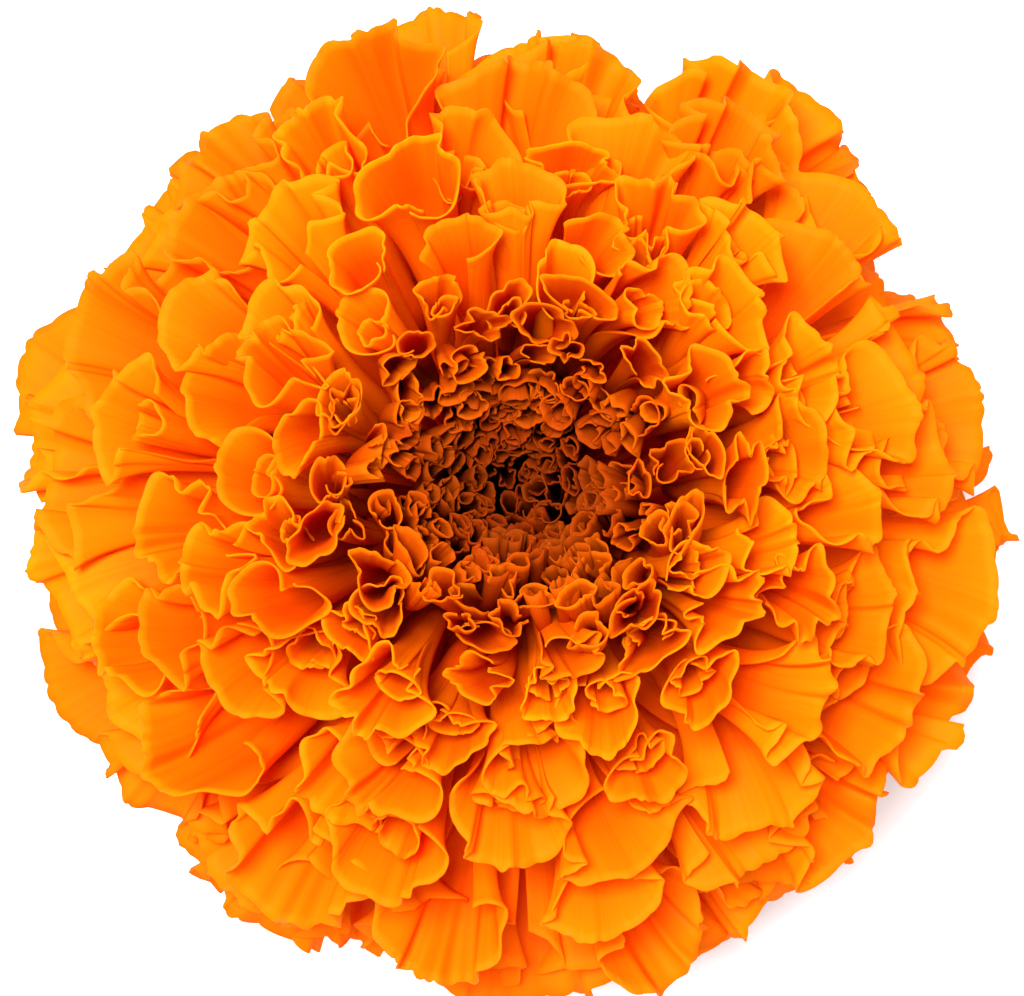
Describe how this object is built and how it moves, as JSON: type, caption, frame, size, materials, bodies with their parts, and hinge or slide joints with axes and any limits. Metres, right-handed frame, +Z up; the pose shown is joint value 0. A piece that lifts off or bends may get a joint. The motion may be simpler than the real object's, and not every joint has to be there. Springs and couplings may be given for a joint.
{
  "type": "marigold flower",
  "caption": "Picked double marigold flower head: a dense round pompon of orange trumpet florets over a green cup, resting on its short cut stalk.",
  "frame": {"origin": "middle of the flat cut face at the bottom of the stalk, which is the lowest point of the part", "axes": "+Z up along the stalk and out through the middle of the head; +X and +Y level, with no preferred side"},
  "size_m": [0.0892, 0.0894, 0.0566],
  "materials": {
    "floret_gold": "matte petal, golden orange",
    "floret_deep": "matte petal, deeper orange towards the middle",
    "floret_heart": "matte, brown-orange buds on a pale bed",
    "cup_green": "matte leaf green",
    "stalk_green": "matte pale green"
  },
  "bodies": {
    "root": {"cut_stalk": "stalk_green", "green_cup": "cup_green", "receptacle": "floret_heart", "floret_row_01": "floret_deep", "floret_row_02": "floret_deep", "floret_row_03": "floret_deep", "floret_row_04": "floret_deep", "floret_row_05": "floret_deep", "floret_row_06": "floret_deep", "floret_row_07": "floret_deep", "floret_row_08": "floret_deep", "floret_row_09": "floret_deep", "floret_row_10": "floret_deep", "floret_row_11": "floret_deep", "floret_row_12": "floret_deep", "floret_row_13": "floret_deep", "floret_row_14": "floret_deep", "floret_row_15": "floret_deep", "floret_row_16": "floret_deep", "floret_row_17": "floret_deep", "floret_row_18": "floret_deep", "floret_row_19": "floret_deep", "floret_row_20": "floret_deep", "floret_row_21": "floret_deep", "outer_floret_01": "floret_gold", "outer_floret_02": "floret_gold", "outer_floret_03": "floret_gold", "outer_floret_04": "floret_gold", "outer_floret_05": "floret_gold", "outer_floret_06": "floret_gold", "outer_floret_07": "floret_gold", "outer_floret_08": "floret_gold", "outer_floret_09": "floret_gold", "outer_floret_10": "floret_gold", "outer_floret_11": "floret_gold", "outer_floret_12": "floret_gold", "outer_floret_13": "floret_gold", "outer_floret_14": "floret_gold", "outer_floret_15": "floret_gold", "outer_floret_16": "floret_gold", "outer_floret_17": "floret_gold", "outer_floret_18": "floret_gold", "outer_floret_19": "floret_gold", "outer_floret_20": "floret_gold", "outer_floret_21": "floret_gold", "outer_floret_22": "floret_gold", "outer_floret_23": "floret_gold", "outer_floret_24": "floret_gold", "outer_floret_25": "floret_gold", "outer_floret_26": "floret_gold", "outer_floret_27": "floret_gold", "outer_floret_28": "floret_gold", "outer_floret_29": "floret_gold", "outer_floret_30": "floret_gold", "outer_floret_31": "floret_gold", "outer_floret_32": "floret_gold", "outer_floret_33": "floret_gold", "outer_floret_34": "floret_gold"}
  },
  "joints": []
}
